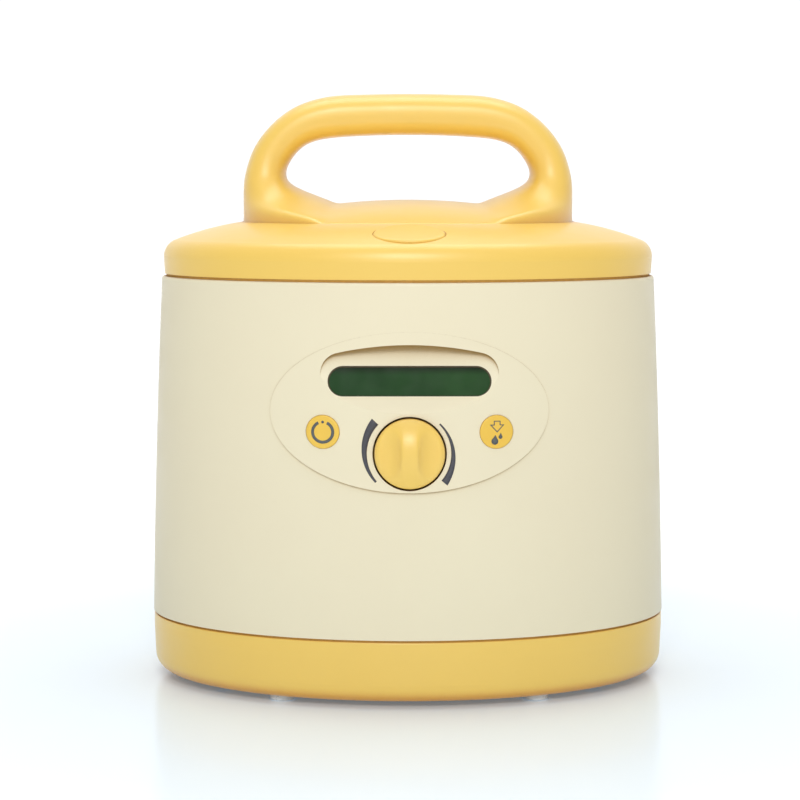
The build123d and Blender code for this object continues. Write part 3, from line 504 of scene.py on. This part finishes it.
def make_level_arcs():
    """Printed wedges on both sides of the knob, thick at one end and thin at the other."""
    surface = front_of("control_panel")
    for name, start, end, inner, widths in (
            ("level_arc_left", 137, 220, 20.3, (4.1, 2.4, 1.0)),
            ("level_arc_right", 45, -40, 19.7, (0.7, 1.8, 3.6))):
        bm = bmesh.new()
        inside, outside = [], []
        for k in range(41):
            share = k / 40
            angle = start + share * (end - start)
            first, middle, last = widths
            width = first + share * (last - first) + 4 * share * (1 - share) * (middle - (first + last) / 2)
            inside.append(polar(0, KNOB_CENTRE.z, inner * MM, angle))
            outside.append(polar(0, KNOB_CENTRE.z, (inner + width) * MM, angle))
        ribbon(bm, inside, outside, surface)
        new_piece(name, bm, INK, "housing")


def make_window_gap_shade_ring():
    """The thin dark brown line round the display window, on the plane of the window's own face: partly the dark
    gap round the lens, partly a painted shadow line where the lens sits behind its surround.
    """
    low, high = [Vector(corner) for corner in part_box("display_lens")]
    centre = (low + high) / 2
    face = front_of("display_lens")
    lean = (face(0, centre.z + 4 * MM) - face(0, centre.z - 4 * MM)) / (8 * MM)
    middle = face(0, centre.z)
    half_w = (high.x - low.x) / 2
    half_h = 7.15 * MM

    def outline(extra):
        points = []
        for k in range(96):
            turn = 2 * pi * (k + 0.5) / 96
            side = 1 if cos(turn) > 0 else -1
            points.append((side * (half_w - half_h) + (half_h + extra) * cos(turn),
                           centre.z + (half_h + extra) * sin(turn)))
        return points

    bm = bmesh.new()
    ribbon(bm, outline(-0.55 * MM), outline(0.2 * MM), lambda x, z: middle + lean * (z - centre.z),
           closed=True, lift=0.0003)
    new_piece("window_gap_shade_ring", bm, WINDOW_GAP_SHADE, "housing")


# ---- lid with its arched handle ---------------------------------------------------------------
# Half of the arch from its crown to its foot, in mm about the barrel's axis: the outer point, the inner
# point (both X and Z), the half depth there, and how square the section is (2 is an ellipse).
ARCH = [
    ((0, 294.8), (0, 274.2), 14.5, 2.7),
    ((20, 294.5), (21, 273.8), 14.5, 2.7),
    ((39, 293.6), (40, 272.5), 14.5, 2.7),
    ((53.5, 289.8), (49.5, 270.2), 14.5, 2.7),
    ((63.9, 283.7), (55, 266.6), 14.5, 2.7),
    ((72.3, 275.6), (58.8, 262), 14.5, 2.7),
    ((78.3, 266.5), (61.2, 257.5), 14.8, 2.6),
    ((81.8, 256.4), (61.6, 253.2), 16, 2.5),
    ((83.0, 249.5), (59.3, 249.8), 18, 2.4),
    ((83.3, 244.5), (53.4, 246.6), 21, 2.3),
    ((83.4, 240.5), (45, 243.3), 26, 2.2),
    ((83.4, 237), (37, 240), 34, 2.1),
    ((83.4, 234), (32, 236.5), 44, 2.0),
    ((83.4, 231.5), (28, 233), 54, 2.0),
    ((83.4, 229), (26, 229), 60, 2.0),
]
LID_HALF = (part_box("handle_lid")[1][0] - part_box("handle_lid")[0][0]) / 2
OVAL = 0.727                              # depth over width of the lid's plan
LID_MARGIN = 0.4                          # the arch stays this far inside the lid's edge, in mm
DOME_EDGE, DOME_CROWN = 230.6, 241.7      # heights of the dome's rim and crown, in mm
DOME_SKIN = 0.05                          # what the cutter leaves above the dome, in mm
CUTTER_TOP = 0.32
VOXEL = 0.8 * MM
LIGHT_PASSES, SOFT_PASSES = 4, 50         # smoothing everywhere, and above the rim


def station(share):
    """The arch's outer point, inner point, half depth and squareness, smoothly between its stations."""
    last = len(ARCH) - 1
    first = min(int(share * last), last - 1)
    t = share * last - first
    near = (max(first - 1, 0), first, first + 1, min(first + 2, last))
    rows = [[*ARCH[i][0], *ARCH[i][1], ARCH[i][2], ARCH[i][3]] for i in near]
    if first == 0:
        rows[0] = [-rows[2][0], rows[2][1], -rows[2][2], *rows[2][3:]]
    return [0.5 * (2 * b + t * (c - a) + t * t * (2 * a - 5 * b + 4 * c - d)
                   + t ** 3 * (3 * b - a - 3 * c + d)) for a, b, c, d in zip(*rows)]


def power(value, exponent):
    return (1 if value >= 0 else -1) * abs(value) ** exponent


def arch_mesh(steps=84, turns=72):
    """The arch as one swept, rounded form, held inside the lid's oval plan."""
    bm = bmesh.new()
    rows = []
    for k in range(-steps, steps + 1):
        ox, oz, ix, iz, depth, square = station(abs(k) / steps)
        row = []
        for j in range(turns):
            turn = 2 * pi * j / turns
            out, deep = power(cos(turn), 2 / square), power(sin(turn), 2 / square)
            x = (ox + ix) / 2 + out * (ox - ix) / 2
            z = (oz + iz) / 2 + out * (oz - iz) / 2
            y = deep * depth
            limit = (LID_HALF / MM - LID_MARGIN) / max(sqrt(x * x + (y / OVAL) ** 2), 1e-6)
            shrink = min(limit, 1.0)
            side = 1 if k > 0 else -1
            row.append(bm.verts.new((side * x * shrink * MM, AXIS_Y + y * shrink * MM, z * MM)))
        rows.append(row)
    for here, there in zip(rows, rows[1:]):
        for j in range(turns):
            i = (j + 1) % turns
            bm.faces.new((here[j], here[i], there[i], there[j]))
    bm.faces.new(rows[0])
    bm.faces.new(rows[-1])
    bmesh.ops.recalc_face_normals(bm, faces=bm.faces)
    return bm


def dome_z(x, y):
    """Height of the dome's outside in mm, at a place in mm from the barrel's axis."""
    share = min(sqrt(x * x + (y / OVAL) ** 2) * MM / LID_HALF, 1.0)
    return DOME_EDGE + (DOME_CROWN - DOME_EDGE) * (1 - share * share)


def dome_cutter():
    """Everything above the dome, as a closed block with a dished underside."""
    bm = bmesh.new()
    count, reach = 72, 100.0
    low, high = [], []
    for i in range(count + 1):
        x = -reach + 2 * reach * i / count
        ys = [-reach + 2 * reach * j / count for j in range(count + 1)]
        low.append([bm.verts.new((x * MM, AXIS_Y + y * MM, (dome_z(x, y) + DOME_SKIN) * MM)) for y in ys])
        high.append([bm.verts.new((x * MM, AXIS_Y + y * MM, CUTTER_TOP)) for y in ys])
    for i in range(count):
        for j in range(count):
            bm.faces.new((low[i][j], low[i][j + 1], low[i + 1][j + 1], low[i + 1][j]))
            bm.faces.new((high[i][j], high[i + 1][j], high[i + 1][j + 1], high[i][j + 1]))
        for row in (0, count):
            bm.faces.new((low[i][row], low[i + 1][row], high[i + 1][row], high[i][row]))
            bm.faces.new((low[row][i], high[row][i], high[row][i + 1], low[row][i + 1]))
    bmesh.ops.recalc_face_normals(bm, faces=bm.faces)
    mesh = bpy.data.meshes.new("cutter")
    bm.to_mesh(mesh)
    bm.free()
    cutter = bpy.data.objects.new("cutter", mesh)
    bpy.context.collection.objects.link(cutter)
    return cutter


def make_handle():
    """Lid, legs, fins and arch as one soft moulding: the lid's own dome and hinge arms under a swept arch."""
    mesh = frame["nodes"]["handle_lid"].data.copy()
    piece = bpy.data.objects.new("handle_moulding", mesh)
    bpy.context.collection.objects.link(piece)
    bm = bmesh.new()
    bm.from_mesh(mesh)
    bmesh.ops.remove_doubles(bm, verts=bm.verts, dist=1e-6)
    bm.to_mesh(mesh)
    bm.free()
    cutter = dome_cutter()
    trim = piece.modifiers.new("trim", "BOOLEAN")
    trim.operation = "DIFFERENCE"
    trim.solver = "EXACT"
    trim.object = cutter
    apply_modifiers(piece)
    bpy.data.objects.remove(cutter)
    bm = arch_mesh()
    bm.from_mesh(piece.data)
    bm.to_mesh(piece.data)
    bm.free()
    remesh = piece.modifiers.new("remesh", "REMESH")
    remesh.mode = "VOXEL"
    remesh.voxel_size = VOXEL
    apply_modifiers(piece)
    soft = piece.vertex_groups.new(name="soft")
    for vertex in piece.data.vertices:
        soft.add([vertex.index], smooth_step(RIM_LOW + 2.0 * MM, RIM_LOW + 7 * MM, vertex.co.z), "REPLACE")
    for group, factor, count in (("", 0.5, LIGHT_PASSES), ("soft", 0.5, SOFT_PASSES)):
        smooth = piece.modifiers.new("smooth", "SMOOTH")
        smooth.factor = factor
        smooth.iterations = count
        smooth.vertex_group = group
    apply_modifiers(piece)
    piece.data.materials.clear()
    piece.data.materials.append(YELLOW)
    for face in piece.data.polygons:
        face.use_smooth = True
        face.material_index = 0
    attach(piece, "lid")
    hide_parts("handle_lid")


def apply_modifiers(piece):
    mesh = bpy.data.meshes.new_from_object(piece.evaluated_get(bpy.context.evaluated_depsgraph_get()))
    piece.modifiers.clear()
    piece.data = mesh


# ---- release button ---------------------------------------------------------------------------
def make_release():
    low, high = [Vector(corner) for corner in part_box("release_button")]
    press = next(joint for joint in frame["joints"] if joint["name"] == "release_press")
    up = -Vector(press["axis"])
    along = Vector((1, 0, 0))
    back = up.cross(along)
    mesh = frame["nodes"]["release_button"].data
    crest = max((v.co for v in mesh.vertices), key=lambda co: co.dot(up) - 4 * abs(co.x))
    spread = [v.co.dot(back) for v in mesh.vertices if v.co.dot(up) > crest.dot(up) - 1.4 * MM]
    middle = (min(spread) + max(spread)) / 2
    origin = up * crest.dot(up) + back * middle
    half_u = (high.x - low.x) / 2
    half_v = (max(spread) - min(spread)) / 2

    def front(u, v):
        return -(u * u + v * v) / (2 * 160 * MM)

    bm = cap(half_u, half_v, front, 1.0 * MM, 4.0 * MM,
             lambda u, v, w: origin + along * u + back * v + up * w, rings=24, turns=96)
    button = new_piece("release_cap", bm, YELLOW, "release")
    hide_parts("release_button")


def make_springs():
    """The two release springs; this copy keeps its rest length and does not shorten as the button comes down on
    them.
    """
    node = frame["nodes"]["release_springs"]
    piece = bpy.data.objects.new("release_coils", node.data.copy())
    bpy.context.collection.objects.link(piece)
    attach(piece, "housing")
    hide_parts("release_springs")
    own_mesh(piece)


# ---- floor ------------------------------------------------------------------------------------
FLOOR_NEAR, FLOOR_FAR = 0.12, 0.5         # where the floor's glow starts to rise, and where it is full
GLOW_NEAR, GLOW_FAR = 0.14, 0.34


def make_floor():
    mesh = bpy.data.meshes.new("floor")
    mesh.from_pydata([(-8, -4, 0), (8, -4, 0), (8, 14, 0), (-8, 14, 0)], [], [(0, 1, 2, 3)])
    floor = bpy.data.objects.new("floor", mesh)
    bpy.context.collection.objects.link(floor)
    graph = Graph("white_floor")
    graph.colour(graph.blend(graph.noise(3.0), (0.84, 0.90, 0.94, 1), (0.86, 0.92, 0.96, 1)))
    graph.roughness(graph.noise(5.0), 0.16, 0.2)
    graph.shader.inputs["Specular IOR Level"].default_value = 0.25
    # the floor glows, evenly far out so that it runs into the white surround; close round the object it glows
    # less, a painted shadow round the object
    across, along = graph.axis("X"), graph.axis("Y")
    reach = graph.nodes.new("ShaderNodeCombineXYZ")
    graph.links.new(across, reach.inputs["X"])
    graph.links.new(along, reach.inputs["Y"])
    length = graph.nodes.new("ShaderNodeVectorMath")
    length.operation = "LENGTH"
    graph.links.new(reach.outputs["Vector"], length.inputs[0])
    out = graph.range(length.outputs["Value"], FLOOR_NEAR, FLOOR_FAR)
    strength = graph.range(out, 0.0, 1.0, GLOW_NEAR, GLOW_FAR)
    graph.links.new(strength, graph.shader.inputs["Emission Strength"])
    # close to the object the glow is cool: painted light set against the warm light that the barrel throws on it
    near, far = (0.44, 0.70, 1.0, 1), (1.0, 0.96, 0.95, 1)
    graph.links.new(graph.mix(out, near, far), graph.shader.inputs["Emission Color"])
    mesh.materials.append(graph.material)


dress_cad()
make_knob()
make_power_icon(*make_key("power_button", "power_key_cap", "power_key"))
make_letdown_icon(*make_key("letdown_button", "letdown_key_cap", "letdown_key"))
make_level_arcs()
make_window_gap_shade_ring()
make_handle()
make_release()
make_springs()
make_floor()
